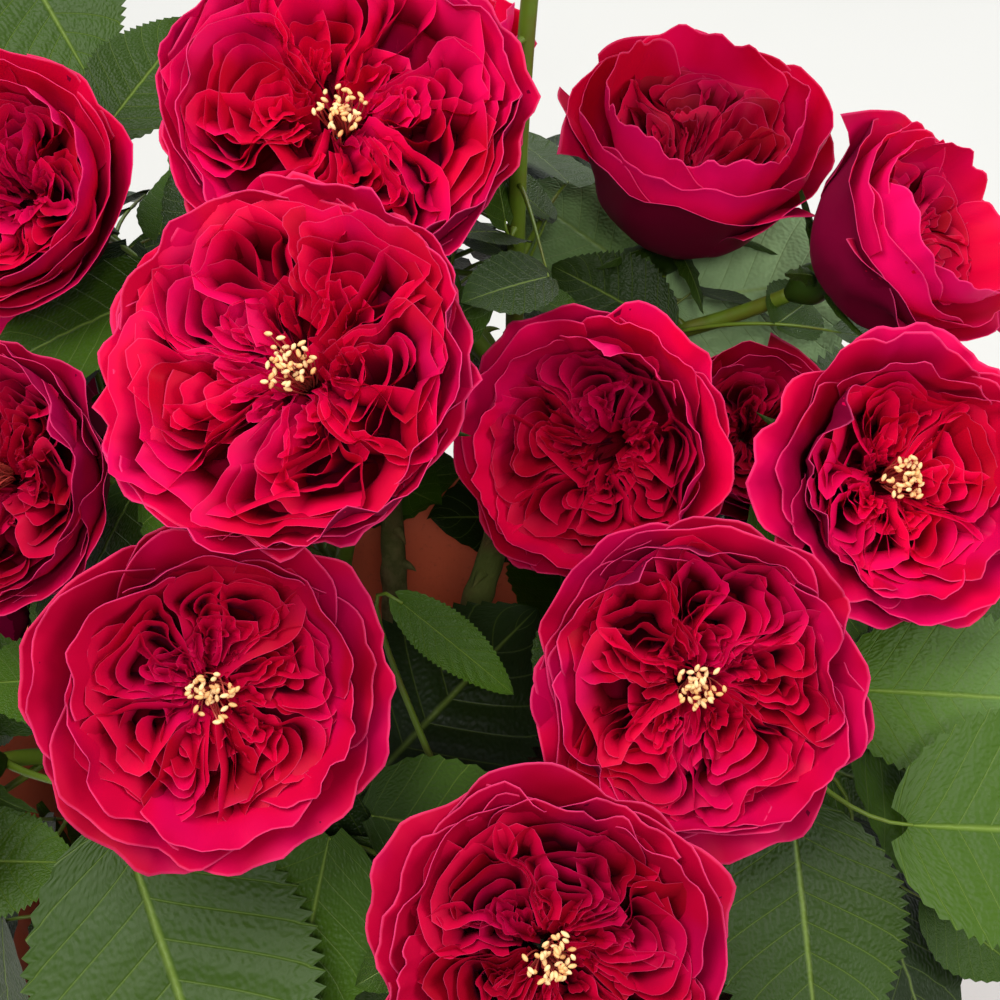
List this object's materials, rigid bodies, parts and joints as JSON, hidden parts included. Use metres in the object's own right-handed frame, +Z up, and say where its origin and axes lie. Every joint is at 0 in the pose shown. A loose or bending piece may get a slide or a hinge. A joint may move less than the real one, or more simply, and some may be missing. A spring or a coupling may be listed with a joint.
{
  "type": "potted rose bush",
  "caption": "Shrub rose in a round clay-coloured pot: woody base, arching canes, compound leaves and large cupped crimson many-petalled blooms on every side.",
  "frame": {"origin": "the middle of the pot's flat underside", "axes": "+Z up along the pot's axis, -Y towards the front of the bush that the picture shows, +X to the right as seen from the front"},
  "size_m": [0.3277, 0.3324, 0.5321],
  "materials": {
    "clay": "unglazed clay, slightly rough",
    "compost": "loose, damp and matt",
    "bark": "green-olive bark with prickles, browner at the foot",
    "leaf": "satin, paler beneath",
    "petal": "velvety deep crimson, duskier outside"
  },
  "bodies": {
    "root": {"bloom_centre": "petal", "bloom_crown": "petal", "bloom_deep": "petal", "bloom_far_left": "petal", "bloom_far_right": "petal", "bloom_hanging_left": "petal", "bloom_hanging_right": "petal", "bloom_high_right": "petal", "bloom_left": "petal", "bloom_low_left": "petal", "bloom_low_right": "petal", "bloom_lowest": "petal", "bloom_right": "petal", "bloom_round_1": "petal", "bloom_round_2": "petal", "bloom_round_3": "petal", "bloom_round_4": "petal", "bloom_round_5": "petal", "bloom_round_6": "petal", "bloom_round_7": "petal", "bloom_round_8": "petal", "bloom_shaded": "petal", "bloom_small_left": "petal", "bloom_top": "petal", "cane_back": "bark", "cane_front": "bark", "cane_front_left": "bark", "cane_left_back": "bark", "cane_middle": "bark", "cane_right_back": "bark", "cane_right_front": "bark", "cane_tall": "bark", "compost": "compost", "foliage_back": "leaf", "foliage_front": "leaf", "foliage_front_left": "leaf", "foliage_left_back": "leaf", "foliage_middle": "leaf", "foliage_right_back": "leaf", "foliage_right_front": "leaf", "foliage_tall": "leaf", "pot": "clay", "woody_base": "bark"}
  },
  "joints": []
}
